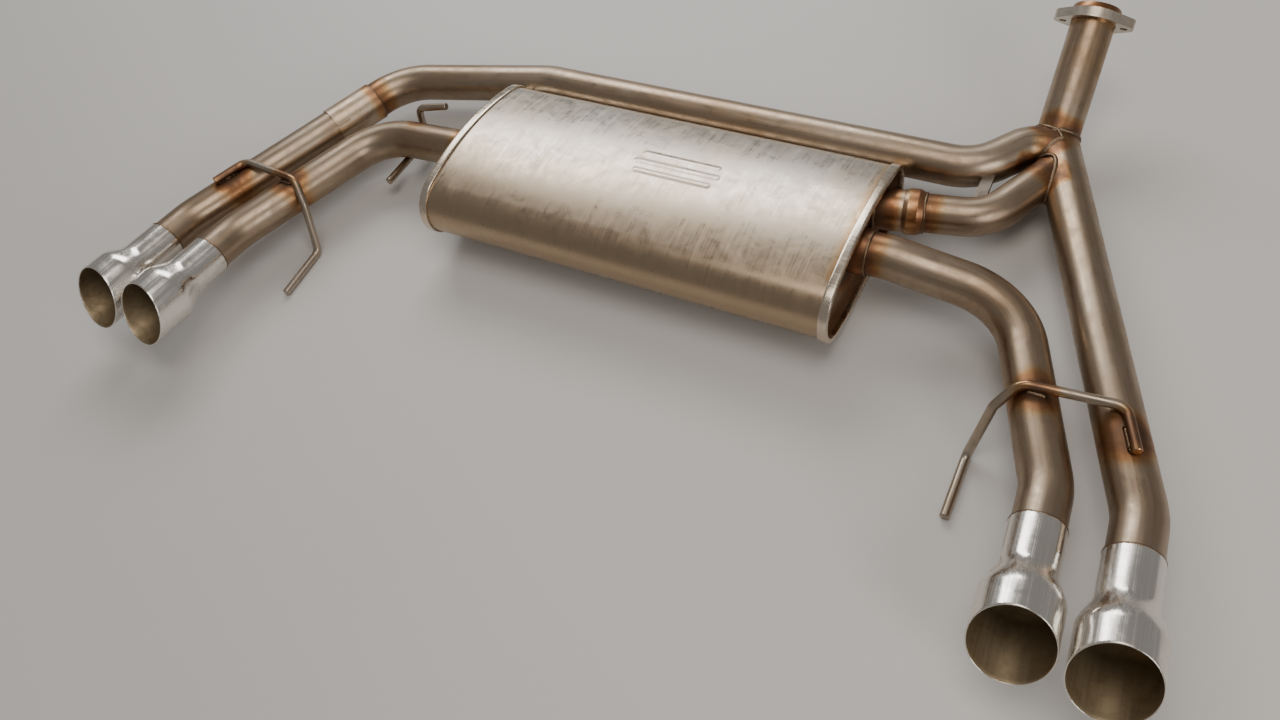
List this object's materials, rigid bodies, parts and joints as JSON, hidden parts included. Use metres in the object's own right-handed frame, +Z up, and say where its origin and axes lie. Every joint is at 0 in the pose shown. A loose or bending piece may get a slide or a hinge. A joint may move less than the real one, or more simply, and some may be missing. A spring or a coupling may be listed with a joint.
{
  "type": "exhaust silencer system",
  "caption": "Rear exhaust section: oval silencer with a bypass tube, bent tail tubes on each side ending in flared slash-cut tips, rod hangers and a loose inlet flange.",
  "frame": {"origin": "centre of the part's footprint, on the floor that it lies on", "axes": "+X to the inlet side along the silencer, +Y towards the inlet flange, +Z up off the floor"},
  "size_m": [1.419, 0.8654, 0.164],
  "materials": {
    "body_steel": "satin sheet with a faint rolling grain",
    "inner_steel": "dull, heat darkened",
    "heat_tinted_steel": "satin, straw to brown heat tint",
    "tube_steel": "satin, warm heat tint near the welds",
    "polished_steel": "polished",
    "rod_steel": "satin bar",
    "flange_steel": "machined plate"
  },
  "bodies": {
    "exhaust": {"silencer_shell": "body_steel", "seam_ring_left": "body_steel", "seam_ring_right": "body_steel", "end_cap_left": "inner_steel", "end_cap_right": "inner_steel", "baffle_left": "inner_steel", "baffle_right": "inner_steel", "feed_core": "inner_steel", "core_left": "inner_steel", "core_right": "inner_steel", "collar_feed": "heat_tinted_steel", "collar_left": "heat_tinted_steel", "collar_right": "heat_tinted_steel", "feed_pipe": "tube_steel", "tail_left_inner": "tube_steel", "tail_right_inner": "tube_steel", "tail_right_outer": "tube_steel", "inlet_pipe": "tube_steel", "crossover_pipe": "tube_steel", "tail_left_outer": "tube_steel", "slip_sleeve": "tube_steel", "tip_left_inner": "polished_steel", "tip_left_outer": "polished_steel", "tip_right_inner": "polished_steel", "tip_right_outer": "polished_steel", "hanger_left": "rod_steel", "hanger_right": "rod_steel", "hanger_middle": "rod_steel", "brace_tab": "rod_steel", "inlet_lip": "tube_steel"},
    "flange": {"inlet_flange": "flange_steel"}
  },
  "joints": [
    {"name": "flange_turn", "type": "hinge", "parent": "exhaust", "child": "flange", "pos_m": [0.45676, 0.40452, 0.13169], "axis": [0.01, 0.8261, 0.5635], "continuous": true}
  ]
}
